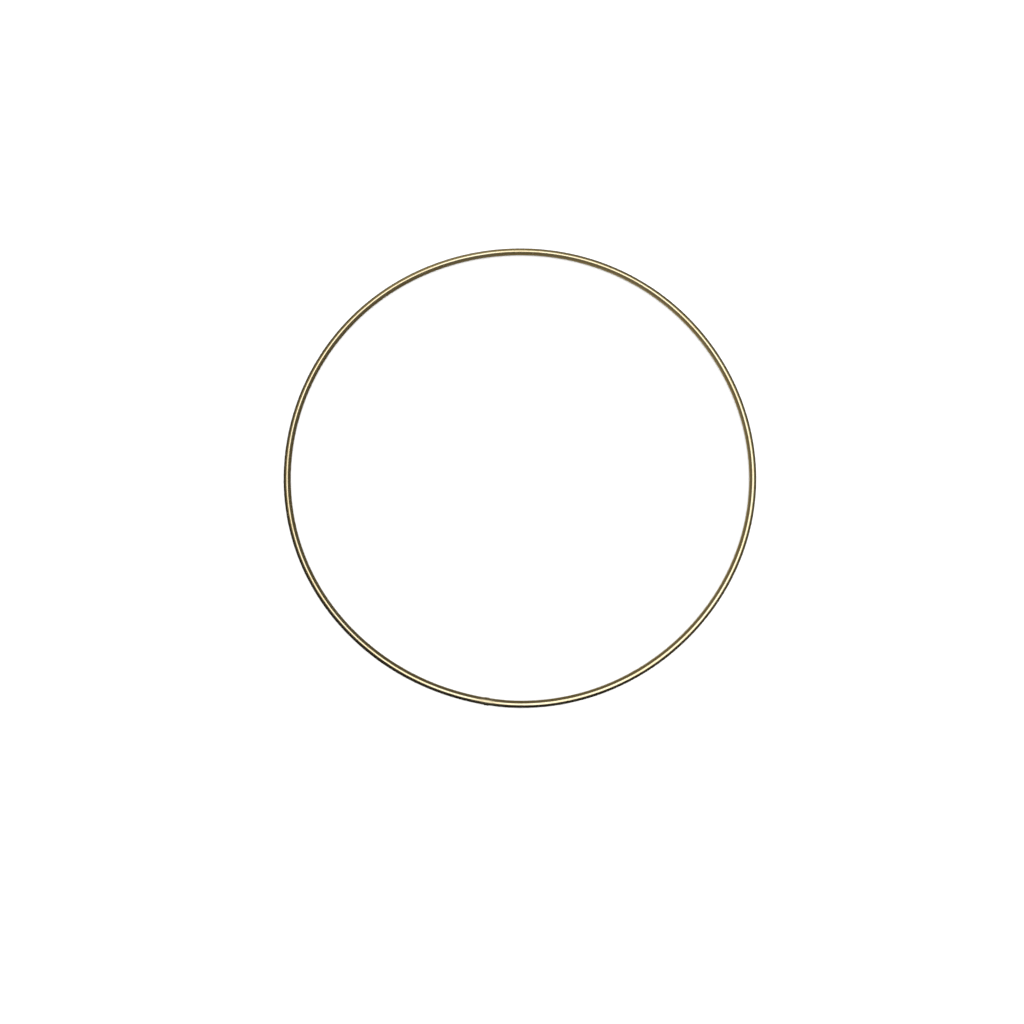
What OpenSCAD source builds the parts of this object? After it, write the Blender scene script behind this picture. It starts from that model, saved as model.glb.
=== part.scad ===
// Wire hoop that a wreath is bound on, lying flat with its centre over the origin.
// A round steel wire is rolled into a circle, its ends are butt-welded, the weld is dressed
// flush on the hoop's two faces, and the whole hoop is brass plated.
// The plating is drawn thicker than a real one, so that it is a sound shell. The three pieces
// share their faces.

/* [Hoop] */
// Outside diameter of the finished hoop
hoop_od = 200; // [100:5:400]
// Diameter of the finished wire, plating included
wire_d = 3; // [2:0.1:6]

/* [Plating] */
// Thickness of the brass skin
plating_t = 0.1; // [0.1:0.01:0.2]

/* [Weld] */
// Where the weld is, turned about the hoop's axis from +X
weld_at = 263; // [0:1:359]
// Length of the dressed bead along the wire
bead_len = 2.4; // [1.5:0.1:5]
// How far the bead stands proud, on the hoop's inside and outside
bead_crown = 0.15; // [0.05:0.01:0.3]
// How far the bead's sides start under the top of the wire, where it is dressed flush
dressed_depth = 0.5; // [0.4:0.05:0.7]
// Fused metal past each end of the bead
fused_margin = 0.4; // [0.3:0.1:1]

/* [Hidden] */

ring_fn = 256;
wire_fn = 96;

wire_r = wire_d / 2;
ring_r = hoop_od / 2 - wire_r;

// Each side of the bead is an arc that leaves the wire's outline at the dressed depth and
// reaches the crown at the wire's middle height
crown_r = wire_r + bead_crown;
leave_z = wire_r - dressed_depth;
leave_x = sqrt(pow(wire_r, 2) - pow(leave_z, 2));
side_x = (pow(crown_r, 2) - pow(wire_r, 2)) / (2 * (crown_r - leave_x));
side_r = crown_r - side_x;

// Turn about the hoop's axis that a length along the wire takes up
function turn_of(length) = length / ring_r * 180 / PI;

// The fused stretch, which lies between the wire's cut ends
weld_turn = turn_of(bead_len + 2 * fused_margin);

// Sweeps a section about the hoop's axis through a turn, centred on a place
module sweep(turn, at) {
    rotate([0, 0, at - turn / 2])
        translate([0, 0, wire_r])
            rotate_extrude(angle = turn, $fn = ring_fn)
                translate([ring_r, 0])
                    children();
}

// Section of the wire, its outline inset by a depth
module wire_section(inset) {
    circle(r = wire_r - inset, $fn = wire_fn);
}

// Sides of the bead, which sink into the wire, their surface inset by a depth
module bead_sides(inset) {
    for (side = [-1, 1])
        sweep(turn_of(bead_len - 2 * inset), weld_at)
            translate([side * side_x, 0])
                circle(r = side_r - inset, $fn = wire_fn);
}

// The whole hoop with its bead, its surface inset by a depth
module hoop(inset) {
    sweep(360, weld_at)
        wire_section(inset);
    bead_sides(inset);
}

module steel_wire() {
    color("slategray")
        sweep(360 - weld_turn, weld_at + 180)
            wire_section(plating_t);
}

module butt_weld() {
    color("dimgray") {
        sweep(weld_turn, weld_at)
            wire_section(plating_t);
        bead_sides(plating_t);
    }
}

module brass_plating() {
    color("palegoldenrod")
        difference() {
            hoop(0);
            hoop(plating_t);
        }
}

steel_wire();
butt_weld();
brass_plating();
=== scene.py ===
"""Looks of a brass-plated wire hoop that a wreath is bound on.

The hoop lies flat on the floor with its centre over the origin. Three pieces are built round
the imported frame: the drawn steel wire, the butt weld that joins its two ends, and the brass
plating over both. Lengths are in metres and angles in radians, unless a name says otherwise.
"""

from __future__ import annotations

import logging
import math
from dataclasses import dataclass
from enum import Enum
from typing import Iterable, Sequence

import bmesh
import bpy
from mathutils import Matrix, Vector, noise

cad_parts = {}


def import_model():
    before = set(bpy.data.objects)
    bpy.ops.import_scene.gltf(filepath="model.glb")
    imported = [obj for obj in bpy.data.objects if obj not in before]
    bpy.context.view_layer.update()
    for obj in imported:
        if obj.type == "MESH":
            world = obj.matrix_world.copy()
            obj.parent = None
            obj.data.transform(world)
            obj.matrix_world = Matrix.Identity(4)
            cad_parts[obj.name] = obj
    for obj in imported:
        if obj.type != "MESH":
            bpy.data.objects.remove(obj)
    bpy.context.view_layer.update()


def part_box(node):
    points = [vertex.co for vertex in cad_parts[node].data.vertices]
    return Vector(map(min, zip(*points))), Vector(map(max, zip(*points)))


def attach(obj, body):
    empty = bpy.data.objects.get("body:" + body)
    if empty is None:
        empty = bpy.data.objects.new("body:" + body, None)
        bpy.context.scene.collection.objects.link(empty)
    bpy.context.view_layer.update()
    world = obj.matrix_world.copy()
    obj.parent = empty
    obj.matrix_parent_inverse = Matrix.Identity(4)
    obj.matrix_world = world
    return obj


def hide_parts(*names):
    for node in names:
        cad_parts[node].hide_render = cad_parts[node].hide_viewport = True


LOG = logging.getLogger("wire_hoop")

MM = 0.001
FULL_TURN = 2 * math.pi
QUARTER_TURN = math.pi / 2

# Attribute that holds each point's place on the wire, and how far from the weld it counts, in mm
PLACE_ATTRIBUTE = "place_on_wire"
PLACE_REACH = 20.0
# Map that the finishes are baked on
BAKE_MAP = "OFBake"

# Points of neighbouring stretches closer than this are one
JOIN_DISTANCE = 2e-6
# Sides of the wire's section, and coarseness of a sweep, on walls in sight and out of sight
OUTER_SIDES, OUTER_COARSENESS = 48, 1
HIDDEN_SIDES, HIDDEN_COARSENESS = 32, 2

Colour = tuple[float, float, float]
Input = bpy.types.NodeSocket | Vector | float | tuple[float, ...]

BLACK: Colour = (0.0, 0.0, 0.0)


def smooth_rise(value: float, start: float, end: float) -> float:
    """Rises smoothly from 0 to 1 as a value goes from start to end.

    Args:
        value: Where to read the rise.
        start: Value where it is still 0.
        end: Value where it has reached 1.

    Returns:
        A number from 0 to 1.
    """
    share = min(max((value - start) / (end - start), 0.0), 1.0)
    return share * share * (3 - 2 * share)


def near_turn(turn: float, about: float) -> float:
    """Brings an angle to within half a turn of another.

    Args:
        turn: The angle.
        about: The angle that it is to be near.

    Returns:
        The same angle, plus or minus whole turns.
    """
    return about + (turn - about + math.pi) % FULL_TURN - math.pi


def direction_at(turn: float, height: float) -> Vector:
    """Finds the direction to a place in the studio.

    Args:
        turn: Turn from +X to the place, in degrees.
        height: Height of the place over the horizon, in degrees.

    Returns:
        The direction, of length 1.
    """
    turn, height = math.radians(turn), math.radians(height)
    return Vector(
        (math.cos(turn) * math.cos(height), math.sin(turn) * math.cos(height), math.sin(height))
    )


# --- Shape of the hoop ---------------------------------------------------------------------


@dataclass(frozen=True)
class Lobe:
    """One round of the slight waviness that rolling the wire leaves in a hoop.

    Attributes:
        count: How many times it goes out and in round the hoop.
        height: How far out it goes.
        peak: Where round the hoop, times its count, it is furthest out, in degrees.
    """

    count: int
    height: float
    peak: float


@dataclass(frozen=True)
class Centreline:
    """The line along the middle of the wire, a circle that is a little out of round.

    Attributes:
        radius: Mean radius of the hoop's middle line.
        height: Height of the line over the floor.
        weld_at: Turn from +X to the weld.
        lobes: The rounds of waviness that rolling leaves.
        kink: How far the wire swings out before the weld and in after it.
        kink_reach: Length of wire over which the swing dies out on each side of the weld.
    """

    radius: float
    height: float
    weld_at: float
    lobes: tuple[Lobe, ...] = (
        Lobe(3, 0.05 * MM, 161),
        Lobe(4, 0.08 * MM, 44),
        Lobe(5, 0.14 * MM, -43),
    )
    kink: float = 0.075 * MM
    kink_reach: float = 26 * MM

    def along(self, turn: float) -> float:
        """Length of wire from the weld to a turn about the hoop's axis, minus if before it."""
        return self.radius * (near_turn(turn, self.weld_at) - self.weld_at)

    def drift(self, turn: float) -> float:
        """How far out of the true circle the wire is.

        Args:
            turn: Turn about the hoop's axis, from +X.

        Returns:
            Distance outwards from the circle.
        """
        waves = sum(
            lobe.height * math.cos(lobe.count * turn - math.radians(lobe.peak))
            for lobe in self.lobes
        )
        share = self.along(turn) / self.kink_reach
        swing = 2.0 * share * math.exp(0.5 - 2.0 * share * share)
        return waves + self.kink * swing


@dataclass(frozen=True)
class Bead:
    """The dressed bead of the butt weld, as it shows on the wire's surface.

    Attributes:
        length: Length of the raised bead along the wire.
        crown: How far it stands proud on the hoop's inside and outside.
        shoulder: Length over which it rises at each end.
        bare_side: Share of the wire's radius, seen from above, where dressing has left no bead.
        full_side: The same share where the bead has its full height.
        facet: Depth of the dressed flat on the hoop's top and underside.
        facet_length: Length of that flat along the wire.
        facet_level: Share of that length that is at the full depth.
        seam: Depth of the line where the two ends met.
        seam_width: Half width of that line.
        unevenness: Height of the ripples that the fused metal keeps.
        ripple: Length of a ripple along the wire.
        ripples_round: Number of ripples across the wire's radius.
    """

    length: float = 2.4 * MM
    crown: float = 0.15 * MM
    shoulder: float = 0.5 * MM
    bare_side: float = 0.55
    full_side: float = 0.90
    facet: float = 0.035 * MM
    facet_length: float = 6.4 * MM
    facet_level: float = 0.35
    seam: float = 0.03 * MM
    seam_width: float = 0.16 * MM
    unevenness: float = 0.022 * MM
    ripple: float = 0.5 * MM
    ripples_round: float = 2.2

    def proud(self, along: float, side: float, level: float) -> float:
        """How far the surface stands out of the round wire.

        Args:
            along: Distance along the wire from the weld's middle.
            side: Sideways place on the section, from -1 inside the hoop to 1 outside it.
            level: Height on the section, from -1 underneath to 1 on top.

        Returns:
            Distance outwards from the wire's own surface.
        """
        half = self.length / 2
        swell = 1 - smooth_rise(abs(along), half - self.shoulder, half)
        if not swell:
            return 0.0
        flank = smooth_rise(abs(side), self.bare_side, self.full_side)
        ripple = noise.noise(
            Vector((along / self.ripple, self.ripples_round * side, self.ripples_round * level))
        )
        groove = math.exp(-((along / self.seam_width) ** 2))
        return swell * flank * (self.crown + self.unevenness * ripple - self.seam * groove)

    def dressed(self, along: float) -> float:
        """Depth of the dressed flat at a distance along the wire from the weld's middle."""
        half = self.facet_length / 2
        return self.facet * (1 - smooth_rise(abs(along), self.facet_level * half, half))


class Span(Enum):
    """How much of the hoop a sweep of the wire's section covers."""

    WHOLE = "whole"
    BETWEEN_WELD_ENDS = "between weld ends"
    WELD = "weld"


@dataclass(frozen=True)
class Stretch:
    """A length of the hoop that is swept in equal steps.

    Attributes:
        turn: Turn about the hoop's axis.
        steps: Number of steps.
        repeats: How many times it follows itself.
    """

    turn: float
    steps: int
    repeats: int = 1


@dataclass(frozen=True)
class MapBand:
    """Part of the bake map that a wall takes, cut into strips one over the other.

    Attributes:
        low: Lower edge of the band.
        high: Upper edge of the band.
        strips: Number of strips that the hoop is cut into.
        gap: Width left free round each strip.
    """

    low: float
    high: float
    strips: int = 8
    gap: float = 0.004

    def place(self, strip: int, along: float, across: float) -> tuple[float, float]:
        """Finds a place on the map.

        Args:
            strip: Number of the strip, from 0.
            along: Share of the strip's length.
            across: Share of the strip's width.

        Returns:
            The place's two map coordinates.
        """
        pitch = (self.high - self.low) / self.strips
        foot = self.low + pitch * strip + self.gap
        return self.gap + (1 - 2 * self.gap) * along, foot + (pitch - 2 * self.gap) * across

    def end_place(
        self, strip: int, before_weld: bool, side: float, level: float
    ) -> tuple[float, float]:
        """Finds a place on the map for a point of the wire's flat end.

        Args:
            strip: Number of the strip, from 0.
            before_weld: Whether the end comes before the weld's middle.
            side: Sideways place on the section, from -1 to 1.
            level: Height on the section, from -1 to 1.

        Returns:
            The place's two map coordinates.
        """
        middle = 0.25 if before_weld else 0.75
        return self.place(strip, middle + 0.02 * side, 0.5 + 0.45 * level)


@dataclass(frozen=True)
class HoopShape:
    """Sizes that the hoop's three pieces share.

    Attributes:
        centreline: The wire's middle line.
        wire_radius: Radius of the finished wire.
        skin: Thickness of the plating.
        fused_length: Length of the fused stretch between the wire's cut ends.
        bead: The dressed bead.
        far_turn: Turn of each plain stretch away from the weld.
        far_count: Number of those stretches.
        near_turn: Turn of the finer stretch on each side of the weld.
        far_steps: Steps in each plain stretch.
        near_steps: Steps in each finer stretch.
        weld_steps: Steps in the stretch over the weld.
        fused_steps: Steps in the fused stretch of the weld itself.
    """

    centreline: Centreline
    wire_radius: float
    skin: float
    fused_length: float = 3.2 * MM
    bead: Bead = Bead()
    far_turn: float = math.radians(39)
    far_count: int = 9
    near_turn: float = math.radians(3.5)
    far_steps: int = 52
    near_steps: int = 28
    weld_steps: int = 48
    fused_steps: int = 64

    @classmethod
    def from_frame(cls) -> HoopShape:
        """Reads the hoop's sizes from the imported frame.

        Returns:
            The shape that the three pieces are built to.
        """
        low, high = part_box("brass_plating")
        steel_low, steel_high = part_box("steel_wire")
        weld_low, weld_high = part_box("butt_weld")
        outer_radius = round(high.x, 4)
        wire_radius = round(high.z - low.z, 5) / 2
        steel_radius = round(steel_high.z - steel_low.z, 5) / 2
        weld_middle = (weld_low + weld_high) / 2
        centreline = Centreline(
            radius=outer_radius - wire_radius,
            height=low.z + wire_radius,
            weld_at=math.atan2(weld_middle.y, weld_middle.x),
        )
        return cls(centreline, wire_radius, wire_radius - steel_radius)

    def stretches(self, span: Span, coarseness: int) -> tuple[float, list[Stretch]]:
        """Lays out the stretches of a sweep, which are finest at the weld.

        Args:
            span: How much of the hoop is swept.
            coarseness: 1 for the outer wall, more for walls that are out of sight.

        Returns:
            The turn where the sweep starts, and its stretches in order.
        """
        line = self.centreline
        plain = self.far_turn * self.far_count
        weld_turn = FULL_TURN - plain - 2 * self.near_turn
        fused = self.fused_length / line.radius
        far = Stretch(self.far_turn, self.far_steps // coarseness, self.far_count)
        near = Stretch(self.near_turn, self.near_steps // coarseness)
        weld = Stretch(weld_turn, self.weld_steps // coarseness)
        if span is Span.WHOLE:
            return line.weld_at + weld_turn / 2 + self.near_turn, [far, near, weld, near]
        if span is Span.WELD:
            return line.weld_at - fused / 2, [Stretch(fused, self.fused_steps // coarseness)]
        lead = Stretch((FULL_TURN - plain - fused) / 2, self.near_steps // coarseness)
        return line.weld_at + fused / 2, [lead, far, lead]


def pour_into(mesh: bmesh.types.BMesh, part: bmesh.types.BMesh) -> None:
    """Adds a part to a bmesh, and frees the part.

    Args:
        mesh: The bmesh that grows.
        part: The part, which can't be used afterwards.
    """
    carrier = bpy.data.meshes.new("carrier")
    part.to_mesh(carrier)
    part.free()
    mesh.from_mesh(carrier)
    bpy.data.meshes.remove(carrier)


def turn_about_axis(mesh: bmesh.types.BMesh, turn: float) -> None:
    """Turns a whole bmesh about the hoop's axis.

    Args:
        mesh: The bmesh.
        turn: How far it turns.
    """
    matrix = Matrix.Rotation(turn, 3, "Z")
    bmesh.ops.rotate(mesh, cent=(0, 0, 0), matrix=matrix, verts=mesh.verts)


@dataclass
class WireWall:
    """One wall of the wire, swept round the hoop at a depth under the finished surface.

    Attributes:
        shape: The hoop's sizes.
        span: How much of the hoop the wall covers.
        depth: Depth under the finished surface.
        sides: Number of sides of its section.
        coarseness: 1 for the outer wall, more for walls that are out of sight.
        band: The part of the bake map that it takes.
    """

    shape: HoopShape
    span: Span
    depth: float
    sides: int
    coarseness: int
    band: MapBand

    def build(self) -> bmesh.types.BMesh:
        """Sweeps, shapes and maps the wall.

        Returns:
            A closed bmesh whose faces point outwards.
        """
        mesh = bmesh.new()
        self._sweep(mesh)
        if self.span is not Span.WHOLE:
            edges = [edge for edge in mesh.edges if edge.is_boundary]
            bmesh.ops.holes_fill(mesh, edges=edges, sides=0)
        bmesh.ops.recalc_face_normals(mesh, faces=mesh.faces)
        for face in mesh.faces:
            face.smooth = len(face.verts) <= 4
        for edge in mesh.edges:
            edge.smooth = all(face.smooth for face in edge.link_faces)
        self._write_places(mesh)
        self._map(mesh)
        self._shape_surface(mesh)
        return mesh

    def _sweep(self, mesh: bmesh.types.BMesh) -> None:
        """Spins the wire's round section about the hoop's axis, stretch by stretch.

        Args:
            mesh: The empty bmesh that the wall is swept into.
        """
        at, stretches = self.shape.stretches(self.span, self.coarseness)
        for stretch in stretches:
            length = bmesh.new()
            self._place_section(length, at)
            bmesh.ops.spin(
                length,
                geom=[*length.verts, *length.edges],
                cent=(0, 0, 0),
                axis=(0, 0, 1),
                angle=stretch.turn,
                steps=stretch.steps,
                use_merge=False,
                use_duplicate=False,
            )
            for _ in range(stretch.repeats):
                pour_into(mesh, length.copy())
                turn_about_axis(length, stretch.turn)
                at += stretch.turn
            length.free()
        bmesh.ops.remove_doubles(mesh, verts=mesh.verts, dist=JOIN_DISTANCE)

    def _place_section(self, mesh: bmesh.types.BMesh, at: float) -> None:
        """Draws the wire's round section upright, at a turn about the hoop's axis.

        Args:
            mesh: The empty bmesh that it is drawn in.
            at: Its turn from +X.
        """
        line = self.shape.centreline
        radius = self.shape.wire_radius - self.depth
        bmesh.ops.create_circle(mesh, cap_ends=False, radius=radius, segments=self.sides)
        upright = Matrix.Rotation(QUARTER_TURN, 3, "X")
        bmesh.ops.rotate(mesh, cent=(0, 0, 0), matrix=upright, verts=mesh.verts)
        bmesh.ops.translate(mesh, vec=(line.radius, 0, line.height), verts=mesh.verts)
        turn_about_axis(mesh, at)

    def _spot(self, co: Vector) -> tuple[float, float, float]:
        """Finds a point of the true round wire.

        Args:
            co: The point.

        Returns:
            Its turn about the hoop's axis, and its place on the section as sideways and
            upward shares of the section's radius.
        """
        line = self.shape.centreline
        out, up = math.hypot(co.x, co.y) - line.radius, co.z - line.height
        reach = math.hypot(out, up)
        return math.atan2(co.y, co.x), out / reach, up / reach

    def _write_places(self, mesh: bmesh.types.BMesh) -> None:
        """Writes each point's place on the wire, which the finishes follow.

        The first two numbers are its sideways and upward place on the section, and the third
        is its distance from the weld in millimetres, up to the attribute's reach.

        Args:
            mesh: The true sweep.
        """
        layer = mesh.verts.layers.float_vector.new(PLACE_ATTRIBUTE)
        for vert in mesh.verts:
            turn, side, level = self._spot(vert.co)
            away = abs(self.shape.centreline.along(turn)) / MM
            vert[layer] = Vector((side, level, min(away, PLACE_REACH)))

    def _map(self, mesh: bmesh.types.BMesh) -> None:
        """Lays the wall out on the bake map, in strips cut along the wire's underside.

        Args:
            mesh: The true sweep.
        """
        layer = mesh.loops.layers.uv.new(BAKE_MAP)
        band, weld_at = self.band, self.shape.centreline.weld_at
        strip_turn = FULL_TURN / band.strips
        for face in mesh.faces:
            turn, side, level = self._spot(face.calc_center_median())
            past_weld = near_turn(turn, weld_at + math.pi - strip_turn / 2) - weld_at
            strip = int((past_weld + strip_turn / 2) // strip_turn) % band.strips
            middle = weld_at + strip * strip_turn
            about = near_turn(math.atan2(level, side), QUARTER_TURN)
            flat_end = len(face.verts) > 4
            for loop in face.loops:
                turn, side, level = self._spot(loop.vert.co)
                if flat_end:
                    before_weld = near_turn(turn, weld_at) < weld_at
                    loop[layer].uv = band.end_place(strip, before_weld, side, level)
                    continue
                along = (near_turn(turn, middle) - middle) / strip_turn + 0.5
                across = (near_turn(math.atan2(level, side), about) + QUARTER_TURN) / FULL_TURN
                loop[layer].uv = band.place(strip, along, across)

    def _shape_surface(self, mesh: bmesh.types.BMesh) -> None:
        """Moves the points of the true sweep to the rolled, welded and dressed hoop.

        Args:
            mesh: The true sweep.
        """
        shape, line = self.shape, self.shape.centreline
        for vert in mesh.verts:
            turn, side, level = self._spot(vert.co)
            along = line.along(turn)
            out = math.hypot(vert.co.x, vert.co.y) - line.radius
            up = vert.co.z - line.height
            proud = shape.bead.proud(along, side, level)
            out, up = out + proud * side, up + proud * level
            most = shape.wire_radius - self.depth - shape.bead.dressed(along)
            up = min(max(up, -most), most)
            reach = line.radius + line.drift(turn) + out
            vert.co = (reach * math.cos(turn), reach * math.sin(turn), line.height + up)


# --- Finishes ------------------------------------------------------------------------------


class NodeBoard:
    """Short ways to add and join the nodes of a material or a world.

    Attributes:
        tree: The node tree that they are in.
    """

    def __init__(self, tree: bpy.types.NodeTree) -> None:
        """Empties a node tree and takes it over.

        Args:
            tree: The node tree of a material or a world.
        """
        self.tree = tree
        tree.nodes.clear()

    def add(
        self, kind: str, inputs: dict[str, Input] | None = None, **settings: object
    ) -> bpy.types.Node:
        """Adds a node.

        Args:
            kind: The node's type, without its leading ShaderNode.
            inputs: Its inputs by name. A socket is joined, anything else is set.
            **settings: Its own properties.

        Returns:
            The node.
        """
        node = self.tree.nodes.new(f"ShaderNode{kind}")
        for name, value in settings.items():
            setattr(node, name, value)
        for name, value in (inputs or {}).items():
            self.put(node.inputs[name], value)
        return node

    def put(self, socket: bpy.types.NodeSocket, value: Input) -> None:
        """Joins a socket to an input, or sets the input to a value.

        Args:
            socket: The input.
            value: A socket, or a value for the input.
        """
        if isinstance(value, bpy.types.NodeSocket):
            self.tree.links.new(value, socket)
        else:
            socket.default_value = value

    def math(
        self, operation: str, first: Input, second: Input = 0.0, clamp: bool = False
    ) -> bpy.types.NodeSocket:
        """Joins one or two numbers by a sum.

        Args:
            operation: The Math node's operation.
            first: First number or socket.
            second: Second number or socket.
            clamp: Whether the result is kept from 0 to 1.

        Returns:
            The result's socket.
        """
        node = self.add("Math", operation=operation, use_clamp=clamp)
        self.put(node.inputs[0], first)
        self.put(node.inputs[1], second)
        return node.outputs[0]

    def along(self, position: Input, direction: Vector) -> bpy.types.NodeSocket:
        """Measures how far a position lies in a direction.

        Args:
            position: The position's socket.
            direction: The direction, of length 1.

        Returns:
            The measure's socket.
        """
        node = self.add("VectorMath", operation="DOT_PRODUCT")
        self.put(node.inputs[0], position)
        self.put(node.inputs[1], direction)
        return node.outputs["Value"]

    def rise(
        self, value: Input, start: float, end: float, low: float = 0.0, high: float = 1.0
    ) -> bpy.types.NodeSocket:
        """Maps a number smoothly from one range to another.

        Args:
            value: The number's socket.
            start: Where the result is low.
            end: Where the result is high.
            low: The result at the start.
            high: The result at the end.

        Returns:
            The result's socket.
        """
        node = self.add(
            "MapRange",
            {"Value": value, "From Min": start, "From Max": end, "To Min": low, "To Max": high},
            interpolation_type="SMOOTHSTEP",
        )
        return node.outputs["Result"]

    def blend(
        self, share: Input, first: Input, second: Input, way: str = "MIX"
    ) -> bpy.types.NodeSocket:
        """Mixes two colours.

        Args:
            share: How much of the second there is.
            first: First colour or socket.
            second: Second colour or socket.
            way: The Mix node's blend type.

        Returns:
            The mixed colour's socket.
        """
        node = self.add("Mix", data_type="RGBA", blend_type=way, clamp_factor=False)
        for index, value in ((0, share), (6, first), (7, second)):
            if isinstance(value, tuple) and len(value) == 3:
                value = (*value, 1.0)
            self.put(node.inputs[index], value)
        return node.outputs[2]


def shaded_material(
    name: str, kind: str, inputs: dict[str, Input]
) -> tuple[bpy.types.Material, NodeBoard, bpy.types.Node]:
    """Makes a material of one shader.

    Args:
        name: The material's name.
        kind: The shader's type, without its leading ShaderNode.
        inputs: The shader's inputs by name.

    Returns:
        The material, its nodes and its shader.
    """
    material = bpy.data.materials.new(name)
    material.use_nodes = True
    board = NodeBoard(material.node_tree)
    shader = board.add(kind, inputs)
    board.put(board.add("OutputMaterial").inputs["Surface"], shader.outputs[0])
    return material, board, shader


@dataclass(frozen=True)
class FinishBase:
    """What a finish is made on: its shader, and the places that its marks follow.

    Attributes:
        board: The material's nodes.
        shader: The Principled shader.
        place: Separate XYZ node of the place on the wire.
        spot: Separate XYZ node of the Object coordinates.
        position: Socket of the Object coordinates.
    """

    board: NodeBoard
    shader: bpy.types.Node
    place: bpy.types.Node
    spot: bpy.types.Node
    position: bpy.types.NodeSocket

    def set_bump(self, relief: bpy.types.NodeSocket, depth: float) -> None:
        """Joins a relief to the shader.

        Args:
            relief: Socket of the relief.
            depth: How high one unit of it stands.
        """
        bump = self.board.add("Bump", {"Height": relief, "Strength": 1.0, "Distance": depth})
        self.board.put(self.shader.inputs["Normal"], bump.outputs["Normal"])


@dataclass(frozen=True)
class Mottle:
    """A noise that is alike in all directions.

    Attributes:
        scale: Number of features in a metre.
        detail: Octaves of finer noise.
        roughness: Strength of the finer noise.
    """

    scale: float
    detail: float
    roughness: float

    def add_to(self, base: FinishBase) -> bpy.types.NodeSocket:
        """Adds the noise to a material.

        Args:
            base: What the finish is made on.

        Returns:
            The socket of the noise, from 0 to 1.
        """
        node = base.board.add(
            "TexNoise",
            {
                "Vector": base.position,
                "Scale": self.scale,
                "Detail": self.detail,
                "Roughness": self.roughness,
            },
        )
        return node.outputs["Fac"]


@dataclass(frozen=True)
class WireGrain:
    """A noise that is drawn out along or across the wire, with no seam on the hoop.

    Attributes:
        across: Number of features in a radian round the section.
        along: Number of features in a metre of wire.
        detail: Octaves of finer noise.
        roughness: Strength of the finer noise.
    """

    across: float
    along: float
    detail: float = 3.0
    roughness: float = 0.55

    def add_to(self, base: FinishBase) -> bpy.types.NodeSocket:
        """Adds the noise to a material.

        Args:
            base: What the finish is made on.

        Returns:
            The socket of the noise, from 0 to 1.
        """
        board, place, spot = base.board, base.place.outputs, base.spot.outputs
        vector = board.add(
            "CombineXYZ",
            {
                "X": board.math("MULTIPLY", place["X"], self.across),
                "Y": board.math("MULTIPLY", place["Y"], self.across),
                "Z": board.math("MULTIPLY", spot["X"], self.along),
            },
        )
        grain = board.add(
            "TexNoise",
            {
                "Vector": vector.outputs["Vector"],
                "W": board.math("MULTIPLY", spot["Y"], self.along),
                "Scale": 1.0,
                "Detail": self.detail,
                "Roughness": self.roughness,
            },
            noise_dimensions="4D",
        )
        return grain.outputs["Fac"]


@dataclass(frozen=True)
class Finish:
    """A metal finish that follows the wire.

    Attributes:
        name: The material's name.
        weld_at: Turn from +X to the weld, which its marks are turned to.
        mark_counts: Number of dressing marks in a metre along, across and up.
    """

    name: str
    weld_at: float
    mark_counts: tuple[float, float, float] = (6500.0, 420.0, 420.0)

    def build(self) -> bpy.types.Material:
        """Makes the material.

        Returns:
            The material, with its nodes.
        """
        material, board, shader = shaded_material(
            self.name, "BsdfPrincipled", {"Metallic": 1.0}
        )
        attribute = board.add("Attribute", attribute_name=PLACE_ATTRIBUTE)
        place = board.add("SeparateXYZ", {"Vector": attribute.outputs["Vector"]})
        position = board.add("TexCoord").outputs["Object"]
        spot = board.add("SeparateXYZ", {"Vector": position})
        self.dress(FinishBase(board, shader, place, spot, position))
        return material

    def dress(self, base: FinishBase) -> None:
        """Sets the shader up.

        Args:
            base: What the finish is made on.
        """
        raise NotImplementedError

    def dressing_marks(self, base: FinishBase) -> bpy.types.NodeSocket:
        """Adds the fine marks of dressing the weld, which run across the wire.

        Args:
            base: What the finish is made on.

        Returns:
            The socket of the marks, from 0 to 1.
        """
        turned = base.board.add(
            "Mapping",
            {
                "Vector": base.position,
                "Rotation": (0.0, 0.0, -self.weld_at - QUARTER_TURN),
                "Scale": self.mark_counts,
            },
        )
        marks = base.board.add(
            "TexNoise",
            {"Vector": turned.outputs["Vector"], "Scale": 1.0, "Detail": 4.0, "Roughness": 0.65},
        )
        return marks.outputs["Fac"]


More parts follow.
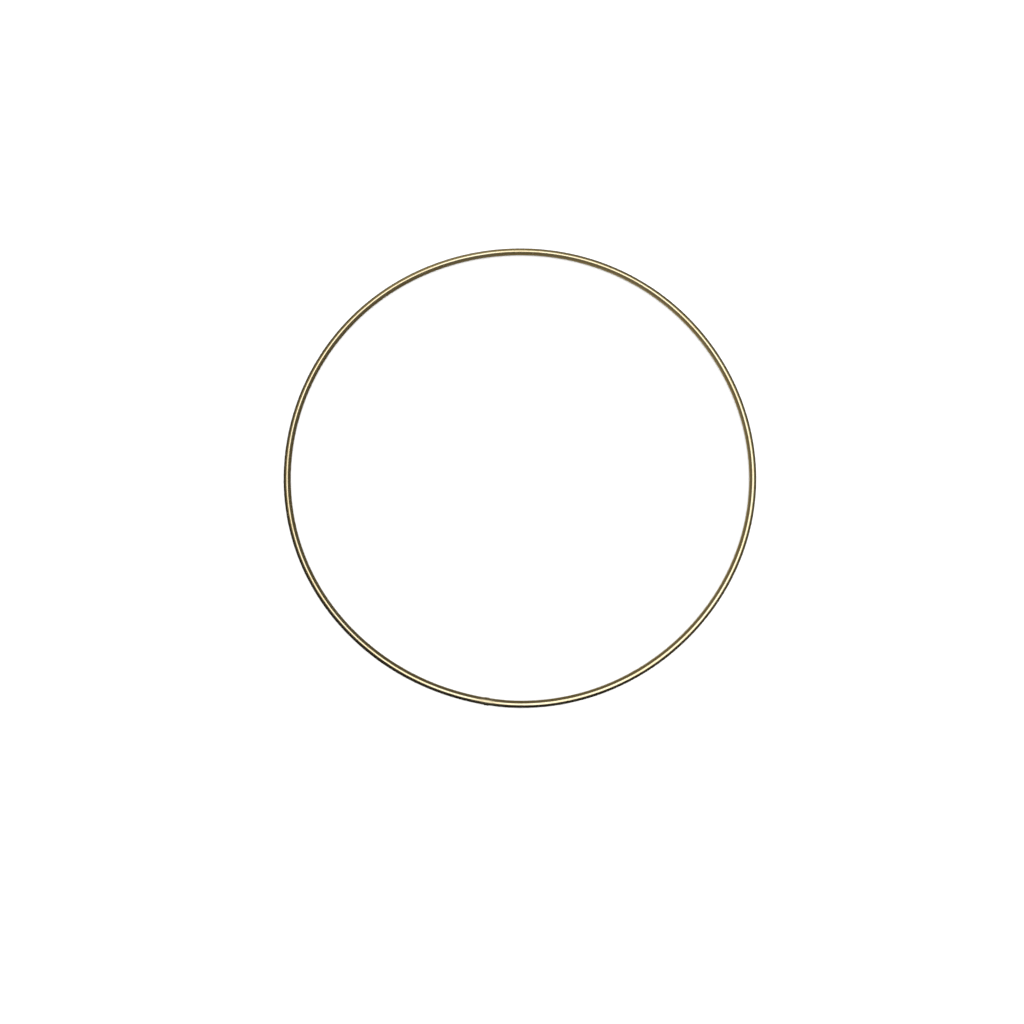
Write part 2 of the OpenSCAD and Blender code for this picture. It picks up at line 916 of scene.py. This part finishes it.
@dataclass(frozen=True)
class BrassPlate(Finish):
    """Bright pale brass plate over drawn wire, with the marks of making and of handling.

    Attributes:
        bright: Colour of the clean plate.
        warm: Colour where the plate is a little richer in copper.
        tarnish: Colour where the plate has dulled.
        polish: Roughness of the cleanest plate.
        line_depth: Depth of the die lines that show through the plate.
        pit_share: Share of the 1.6 mm cells of the plate that hold a pit.
        pit_cells: Number of those cells in a metre.
        blotches: The slow changes of tone.
        grime: The fine grime that dulls the plate.
        die_lines: The lines that the drawing die left.
        hairlines: Finer lines between them.
        rub_marks: Short scratches round the wire, from handling.
    """

    bright: Colour = (0.90, 0.81, 0.595)
    warm: Colour = (0.87, 0.745, 0.49)
    tarnish: Colour = (0.45, 0.34, 0.18)
    polish: float = 0.13
    line_depth: float = 0.010 * MM
    pit_share: float = 0.16
    pit_cells: float = 620.0
    blotches: Mottle = Mottle(48.0, 4.0, 0.6)
    grime: Mottle = Mottle(900.0, 5.0, 0.7)
    die_lines: WireGrain = WireGrain(across=9.0, along=34.0)
    hairlines: WireGrain = WireGrain(across=30.0, along=60.0, detail=2.0)
    rub_marks: WireGrain = WireGrain(across=2.6, along=1400.0, detail=2.0)

    def dress(self, base: FinishBase) -> None:
        """Sets up the brass: colour, roughness and relief.

        Args:
            base: What the finish is made on.
        """
        board, shader = base.board, base.shader
        lines, hairlines = self.die_lines.add_to(base), self.hairlines.add_to(base)
        blotches = self.blotches.add_to(base)
        pit, rub = self._pits(base), self._rubs(base, blotches)
        halo, dressed = self._weld_zone(base)

        dull = board.math(
            "MULTIPLY",
            board.rise(self.grime.add_to(base), 0.50, 0.70),
            board.rise(blotches, 0.45, 0.64, 0.06, 0.38),
        )
        for mark, share in ((halo, 0.26), (pit, 0.80), (rub, 0.22)):
            dull = board.math("MAXIMUM", dull, board.math("MULTIPLY", mark, share))
        streak = board.math("MULTIPLY", board.rise(lines, 0.54, 0.72), 0.20)
        dull = board.math("ADD", dull, streak, clamp=True)
        tint = board.blend(board.rise(blotches, 0.35, 0.66), self.bright, self.warm)
        board.put(shader.inputs["Base Color"], board.blend(dull, tint, self.tarnish))

        rough = board.math("ADD", self.polish, board.rise(lines, 0.42, 0.75, 0.0, 0.10))
        for mark, share in ((dull, 0.24), (dressed, 0.18), (rub, 0.10)):
            rough = board.math("ADD", rough, board.math("MULTIPLY", mark, share))
        board.put(shader.inputs["Roughness"], rough)

        across = board.math("MULTIPLY", self.dressing_marks(base), dressed)
        relief = lines
        for mark, height in ((hairlines, 0.4), (pit, -1.5), (rub, -0.5), (across, 1.4)):
            relief = board.math("ADD", relief, board.math("MULTIPLY", mark, height))
        base.set_bump(relief, self.line_depth)

    def _pits(self, base: FinishBase) -> bpy.types.NodeSocket:
        """Adds the small pits that are scattered over the plate.

        Args:
            base: What the finish is made on.

        Returns:
            The socket of the pits, 1 in their middles.
        """
        cells = base.board.add(
            "TexVoronoi", {"Vector": base.position, "Scale": self.pit_cells}, feature="F1"
        )
        pick = base.board.add("SeparateColor", {"Color": cells.outputs["Color"]})
        least = 1 - self.pit_share
        return base.board.math(
            "MULTIPLY",
            base.board.rise(cells.outputs["Distance"], 0.12, 0.03),
            base.board.rise(pick.outputs["Red"], least, least + 0.03),
        )

    def _rubs(self, base: FinishBase, blotches: bpy.types.NodeSocket) -> bpy.types.NodeSocket:
        """Adds short scratches round the wire, here and there.

        Args:
            base: What the finish is made on.
            blotches: Socket of the noise that picks the rubbed stretches.

        Returns:
            The socket of the scratches, 1 in their middles.
        """
        return base.board.math(
            "MULTIPLY",
            base.board.rise(self.rub_marks.add_to(base), 0.60, 0.70),
            base.board.rise(blotches, 0.50, 0.60),
        )

    def _weld_zone(
        self, base: FinishBase
    ) -> tuple[bpy.types.NodeSocket, bpy.types.NodeSocket]:
        """Adds what the weld leaves in the plate.

        Args:
            base: What the finish is made on.

        Returns:
            The socket of the heat's halo, and that of the dressed surface.
        """
        board, away = base.board, base.place.outputs["Z"]
        halo = board.math(
            "MULTIPLY", board.rise(away, 9.0, 3.0), board.rise(away, 0.8, 2.4, 0.35, 1.0)
        )
        level = board.math("ABSOLUTE", base.place.outputs["Y"])
        faces = board.rise(level, 0.86, 0.97, 0.25, 1.0)
        return halo, board.math("MULTIPLY", board.rise(away, 4.2, 1.4), faces)


@dataclass(frozen=True)
class DrawnSteel(Finish):
    """Bright-drawn mild steel, with die lines along it and a grey bloom of oxide.

    Attributes:
        clean: Colour of the clean steel.
        oxide: Colour of the bloom.
        line_depth: Depth of its die lines.
        bloom: The oxide's patches.
        die_lines: The lines that the drawing die left.
    """

    clean: Colour = (0.46, 0.47, 0.48)
    oxide: Colour = (0.24, 0.22, 0.20)
    line_depth: float = 0.008 * MM
    bloom: Mottle = Mottle(160.0, 5.0, 0.62)
    die_lines: WireGrain = WireGrain(across=12.0, along=40.0, detail=4.0)

    def dress(self, base: FinishBase) -> None:
        """Sets up the steel: colour, roughness and relief.

        Args:
            base: What the finish is made on.
        """
        board, shader = base.board, base.shader
        lines = self.die_lines.add_to(base)
        bloom = board.rise(self.bloom.add_to(base), 0.45, 0.72, 0.0, 0.7)
        dull = board.math("MAXIMUM", bloom, board.rise(base.place.outputs["Z"], 7.0, 1.6))
        board.put(shader.inputs["Base Color"], board.blend(dull, self.clean, self.oxide))
        rough = board.rise(lines, 0.3, 0.7, 0.26, 0.42)
        rough = board.math("ADD", rough, board.math("MULTIPLY", dull, 0.15))
        board.put(shader.inputs["Roughness"], rough)
        base.set_bump(lines, self.line_depth)


@dataclass(frozen=True)
class FusedSteel(Finish):
    """Weld metal, darkened by its heat and dressed across the wire.

    Attributes:
        dressed_metal: Colour where it has been dressed.
        scale: Colour of the dark scale between.
        grain: The coarse grain of the fused metal.
        grain_depth: Depth of its grain and marks.
    """

    dressed_metal: Colour = (0.42, 0.41, 0.40)
    scale: Colour = (0.13, 0.115, 0.105)
    grain: Mottle = Mottle(1500.0, 5.0, 0.7)
    grain_depth: float = 0.014 * MM

    def dress(self, base: FinishBase) -> None:
        """Sets up the weld metal: colour, roughness and relief.

        Args:
            base: What the finish is made on.
        """
        board, shader = base.board, base.shader
        grain = self.grain.add_to(base)
        level = board.math("ABSOLUTE", base.place.outputs["Y"])
        bare = board.math(
            "MULTIPLY", board.rise(level, 0.72, 0.93), board.rise(grain, 0.7, 0.4, 0.6, 1.0)
        )
        board.put(shader.inputs["Base Color"], board.blend(bare, self.scale, self.dressed_metal))
        board.put(shader.inputs["Roughness"], board.rise(bare, 0.0, 1.0, 0.62, 0.34))
        marks = board.math("MULTIPLY", self.dressing_marks(base), bare)
        relief = board.math("ADD", marks, board.math("MULTIPLY", grain, 0.6))
        base.set_bump(relief, self.grain_depth)


# --- Pieces --------------------------------------------------------------------------------


def finished_object(name: str, walls: Iterable[bmesh.types.BMesh]) -> bpy.types.Object:
    """Joins walls into one object at the origin.

    Args:
        name: The object's name.
        walls: Its walls, which are freed.

    Returns:
        The object, linked to the scene.
    """
    mesh = bpy.data.meshes.new(name)
    whole = bmesh.new()
    for wall in walls:
        pour_into(whole, wall)
    whole.to_mesh(mesh)
    whole.free()
    piece = bpy.data.objects.new(name, mesh)
    bpy.context.scene.collection.objects.link(piece)
    return piece


@dataclass
class HoopPiece:
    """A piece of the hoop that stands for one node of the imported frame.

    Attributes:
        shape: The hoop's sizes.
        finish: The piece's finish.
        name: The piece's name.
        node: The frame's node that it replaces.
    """

    shape: HoopShape
    finish: Finish
    name: str
    node: str

    def walls(self) -> list[bmesh.types.BMesh]:
        """Builds the piece's walls.

        Returns:
            The walls, each closed and facing out of the metal.
        """
        raise NotImplementedError

    def hidden_wall(self, span: Span, band: MapBand) -> bmesh.types.BMesh:
        """Builds a wall that lies under the plating.

        Args:
            span: How much of the hoop it covers.
            band: The part of the bake map that it takes.

        Returns:
            The wall, which faces outwards.
        """
        wall = WireWall(
            self.shape, span, self.shape.skin, HIDDEN_SIDES, HIDDEN_COARSENESS, band
        )
        return wall.build()

    def build(self) -> bpy.types.Object:
        """Builds the piece, dresses it and hands it to the frame.

        Returns:
            The piece's object.
        """
        piece = finished_object(self.name, self.walls())
        piece.data.materials.append(self.finish.build())
        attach(piece, "root")
        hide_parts(self.node)
        LOG.info("%s: %d faces, %s", self.name, len(piece.data.polygons), self.finish.name)
        return piece


@dataclass
class SteelWire(HoopPiece):
    """The length of drawn wire, rolled to a hoop, with its two cut ends at the weld."""

    name: str = "drawn_steel_wire"
    node: str = "steel_wire"

    def walls(self) -> list[bmesh.types.BMesh]:
        """Sweeps the wire from one side of the weld round to the other."""
        return [self.hidden_wall(Span.BETWEEN_WELD_ENDS, MapBand(0.0, 1.0))]


@dataclass
class ButtWeld(HoopPiece):
    """The fused metal between the wire's two ends, with its dressed bead."""

    name: str = "dressed_butt_weld"
    node: str = "butt_weld"

    def walls(self) -> list[bmesh.types.BMesh]:
        """Sweeps the fused stretch and raises its bead.

        Returns:
            Its one wall.
        """
        wall = WireWall(
            self.shape,
            Span.WELD,
            self.shape.skin,
            OUTER_SIDES,
            OUTER_COARSENESS,
            MapBand(0.0, 1.0),
        )
        return [wall.build()]


@dataclass
class BrassPlating(HoopPiece):
    """The brass skin over the wire and the weld, a closed shell with no opening."""

    name: str = "brass_plate_skin"
    node: str = "brass_plating"

    def walls(self) -> list[bmesh.types.BMesh]:
        """Sweeps the outer wall, and the inner one that faces the steel.

        Returns:
            The two walls of the closed skin.
        """
        outer = WireWall(
            self.shape, Span.WHOLE, 0.0, OUTER_SIDES, OUTER_COARSENESS, MapBand(0.0, 0.82)
        ).build()
        inner = self.hidden_wall(Span.WHOLE, MapBand(0.83, 1.0, gap=0.002))
        bmesh.ops.reverse_faces(inner, faces=inner.faces)
        return [outer, inner]


# --- Studio --------------------------------------------------------------------------------


@dataclass(frozen=True)
class Floor:
    """The plain pale floor that the hoop lies on.

    Attributes:
        half_width: Half of its width.
        shade: Its grey.
        depth: How far it lies under the hoop.
    """

    half_width: float = 6.0
    shade: float = 0.93
    depth: float = 0.02 * MM

    def build(self) -> bpy.types.Object:
        """Makes the floor just under the hoop.

        Returns:
            The floor's object.
        """
        mesh = bmesh.new()
        bmesh.ops.create_grid(mesh, x_segments=8, y_segments=8, size=self.half_width)
        floor = finished_object("studio_floor", [mesh])
        floor.data.transform(Matrix.Translation((0, 0, -self.depth)))
        grey = (self.shade, self.shade, self.shade, 1.0)
        floor.data.materials.append(
            shaded_material("pale_floor", "BsdfDiffuse", {"Color": grey})[0]
        )
        floor.visible_glossy = False
        return floor


@dataclass(frozen=True)
class WallGlow:
    """A part of the studio's walls that shows brighter in the metal.

    Attributes:
        turn: Turn from +X to its middle, in degrees.
        height: Its middle's height over the horizon, in degrees.
        dark_at: How far round from its middle it has died away, in degrees.
        full_at: How near its middle it has its full brightness, in degrees.
        colour: Its colour at full brightness.
    """

    turn: float
    height: float
    dark_at: float
    full_at: float
    colour: Colour

    def add_to(self, board: NodeBoard, direction: bpy.types.NodeSocket) -> bpy.types.NodeSocket:
        """Adds the glow to the world.

        Args:
            board: The world's nodes.
            direction: Socket of the direction that is looked in.

        Returns:
            The socket of the glow's colour.
        """
        share = board.rise(
            board.along(direction, direction_at(self.turn, self.height)),
            math.cos(math.radians(self.dark_at)),
            math.cos(math.radians(self.full_at)),
        )
        return board.blend(share, BLACK, self.colour)


@dataclass(frozen=True)
class Surroundings:
    """The studio round the hoop: a white tent for the floor, dim warm walls in the metal.

    Attributes:
        tent: Brightness of the white that lights the floor.
        dark: Colour of the unlit walls in the metal.
        glows: The parts of the walls that are brighter.
    """

    tent: float = 1.42
    dark: Colour = (0.008, 0.007, 0.004)
    glows: tuple[WallGlow, ...] = (
        WallGlow(70.0, 78.0, 58.0, 36.0, (0.160, 0.142, 0.093)),
        WallGlow(66.0, 10.0, 143.0, 60.0, (0.064, 0.055, 0.032)),
        WallGlow(103.0, 13.0, 31.0, 4.0, (0.170, 0.147, 0.086)),
    )

    def build(self) -> None:
        """Sets the scene's world up."""
        world = bpy.data.worlds.new("studio")
        bpy.context.scene.world = world
        world.use_nodes = True
        board = NodeBoard(world.node_tree)
        direction = board.add("TexCoord").outputs["Generated"]
        walls: Input = self.dark
        for glow in self.glows:
            walls = board.blend(1.0, walls, glow.add_to(board, direction), "ADD")
        dim = board.add("Background", {"Color": walls, "Strength": 1.0})
        white = board.add("Background", {"Color": (1.0, 1.0, 1.0, 1.0), "Strength": self.tent})
        path = board.add("LightPath")
        pick = board.add("MixShader", {"Fac": path.outputs["Is Glossy Ray"]})
        board.put(pick.inputs[1], white.outputs["Background"])
        board.put(pick.inputs[2], dim.outputs["Background"])
        output = board.add("OutputWorld")
        board.put(output.inputs["Surface"], pick.outputs["Shader"])


@dataclass(frozen=True)
class SideGlow:
    """A glow that is brighter towards one side of the glowing egg, a painted reflection.

    Attributes:
        colour: Its colour at a share of 1.
        bright_at: Turn from +X to the bright side, in degrees.
        dim_share: Its share on the far side.
        bright_share: Its share on the bright side.
    """

    colour: Colour
    bright_at: float
    dim_share: float
    bright_share: float

    def share(
        self, board: NodeBoard, position: bpy.types.NodeSocket, radius: float
    ) -> bpy.types.NodeSocket:
        """Adds the glow's share to a material.

        Args:
            board: The material's nodes.
            position: Socket of the Object coordinates.
            radius: The glowing egg's radius.

        Returns:
            The socket of the share.
        """
        across = board.along(position, direction_at(self.bright_at, 0.0))
        return board.rise(across, -radius, radius, self.dim_share, self.bright_share)


@dataclass(frozen=True)
class PaintedReflectionEgg:
    """A dim glowing egg inside the hoop that only the metal sees, no lamp: painted reflections.

    It evens the tone of the wire's inside. Its upper half is a painted reflection of a low
    screen, and its lower half, under the floor, a painted reflection of the brighter floor close
    to the wire.

    Attributes:
        radius: Its radius at the floor.
        height: Its height over the floor.
        screen: Its glow all over, a painted reflection of a low screen.
        near_floor: The glow that is added on its lower half, a painted reflection of the floor
            near the wire.
        floor_from: Height where that glow starts.
        floor_full: Height where it is full.
    """

    radius: float = 0.085
    height: float = 0.190
    screen: SideGlow = SideGlow((0.096, 0.082, 0.048), 5.0, 0.72, 1.30)
    near_floor: SideGlow = SideGlow((0.200, 0.177, 0.120), -5.0, 0.12, 1.0)
    floor_from: float = 3 * MM
    floor_full: float = -6 * MM

    def build(self) -> bpy.types.Object:
        """Makes the glowing egg.

        Returns:
            The glowing egg's object.
        """
        mesh = bmesh.new()
        bmesh.ops.create_uvsphere(mesh, u_segments=96, v_segments=64, radius=self.radius)
        bmesh.ops.scale(mesh, vec=(1, 1, self.height / self.radius), verts=mesh.verts)
        egg = finished_object("painted_reflection_egg", [mesh])
        # Glow seen only in the metal: painted reflections of a screen and of the floor on the
        # wire's inside
        material, board, light = shaded_material("painted_reflection_glow", "Emission", {})
        position = board.add("TexCoord").outputs["Object"]
        level = board.add("SeparateXYZ", {"Vector": position}).outputs["Z"]
        under = board.math(
            "MULTIPLY",
            board.rise(level, self.floor_from, self.floor_full),
            self.near_floor.share(board, position, self.radius),
        )
        over = self.screen.share(board, position, self.radius)
        glow = board.blend(
            1.0,
            board.blend(over, BLACK, self.screen.colour),
            board.blend(under, BLACK, self.near_floor.colour),
            "ADD",
        )
        board.put(light.inputs["Color"], glow)
        egg.data.materials.append(material)
        egg.visible_camera = egg.visible_diffuse = egg.visible_shadow = False
        return egg


@dataclass(frozen=True)
class OverheadLamp:
    """The round soft lamp over the hoop, which makes the bright line along the wire.

    Attributes:
        direction: Direction from the hoop to the lamp.
        distance: Distance from the hoop to the lamp.
        diameter: Width of the lamp.
        power: Its power in watts.
        colour: Its colour.
    """

    direction: tuple[float, float, float] = (0.150, -0.120, 0.981)
    distance: float = 3.0
    diameter: float = 3.5
    power: float = 40.0
    colour: Colour = (1.0, 1.0, 0.98)

    def build(self) -> bpy.types.Object:
        """Makes the lamp, which faces the hoop's centre.

        Returns:
            The lamp's object.
        """
        data = bpy.data.lights.new("overhead_lamp", "AREA")
        data.shape = "DISK"
        data.size = self.diameter
        data.energy = self.power
        data.color = self.colour
        lamp = bpy.data.objects.new("overhead_lamp", data)
        bpy.context.scene.collection.objects.link(lamp)
        back = Vector(self.direction).normalized()
        lamp.location = back * self.distance
        lamp.rotation_euler = back.to_track_quat("Z", "Y").to_euler()
        lamp.visible_camera = False
        return lamp


@dataclass(frozen=True)
class ViewCamera:
    """The camera, above the hoop and a little towards -Y.

    Attributes:
        aim: Point that it looks at.
        distance: Distance to that point.
        elevation: Degrees above the horizon.
        roll: Degrees that it is turned about its own axis.
        lens: Focal length in millimetres.
    """

    aim: tuple[float, float, float]
    distance: float = 0.7193
    elevation: float = 77.52
    roll: float = 1.042
    lens: float = 60.0

    def build(self) -> bpy.types.Object:
        """Makes the scene's camera.

        Returns:
            The camera's object.
        """
        data = bpy.data.cameras.new("view_camera")
        data.lens = self.lens
        data.clip_start, data.clip_end = 0.01, 100.0
        camera = bpy.data.objects.new("view_camera", data)
        bpy.context.scene.collection.objects.link(camera)
        height = math.radians(self.elevation)
        back = Vector((0.0, -math.cos(height), math.sin(height)))
        facing = back.to_track_quat("Z", "Y").to_matrix().to_4x4()
        turn = Matrix.Rotation(math.radians(self.roll), 4, "Z")
        place = Matrix.Translation(Vector(self.aim) + back * self.distance)
        camera.matrix_world = place @ facing @ turn
        bpy.context.scene.camera = camera
        return camera


def main() -> None:
    """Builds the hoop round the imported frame, then the studio and the camera."""
    logging.basicConfig(level=logging.INFO, format="%(name)s: %(message)s")
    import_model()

    shape = HoopShape.from_frame()
    weld_at = shape.centreline.weld_at
    makers: list[HoopPiece] = [
        SteelWire(shape, DrawnSteel("drawn_steel", weld_at)),
        ButtWeld(shape, FusedSteel("fused_steel", weld_at)),
        BrassPlating(shape, BrassPlate("brass_plate", weld_at)),
    ]
    for maker in makers:
        maker.build()

    Floor().build()
    Surroundings().build()
    # Glowing egg, no lamp, seen only in the metal: painted reflections on the wire's inside
    PaintedReflectionEgg().build()
    OverheadLamp().build()
    ViewCamera(aim=(-3.06 * MM, -17.84 * MM, shape.centreline.height)).build()
    bpy.context.scene.view_settings.view_transform = "Standard"


if __name__ == "__main__":
    main()
